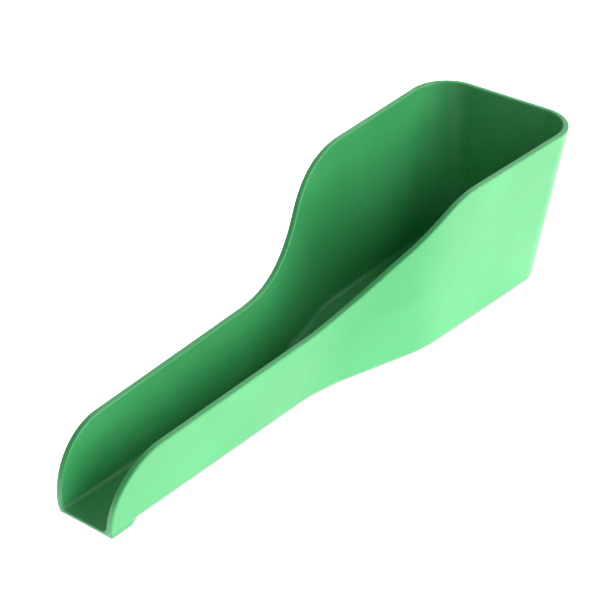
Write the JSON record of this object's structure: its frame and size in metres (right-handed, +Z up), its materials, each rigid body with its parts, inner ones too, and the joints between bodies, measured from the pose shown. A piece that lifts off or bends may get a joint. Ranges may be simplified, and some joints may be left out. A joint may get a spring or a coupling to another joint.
{
  "type": "feed scoop",
  "caption": "One-piece moulded feed scoop: a deep open bin with leaning walls narrows into a long open chute for pouring loose feed.",
  "frame": {"origin": "middle of the bounding box's underside, on the surface the scoop rests on", "axes": "+X from the pouring mouth back to the bin's rear wall, +Y across the scoop, +Z up out of the open top"},
  "size_m": [0.1799, 0.0512, 0.0484],
  "materials": {
    "green_plastic": "satin moulded polypropylene, mid green, slightly translucent"
  },
  "bodies": {
    "root": {"scoop_body": "green_plastic"}
  },
  "joints": []
}
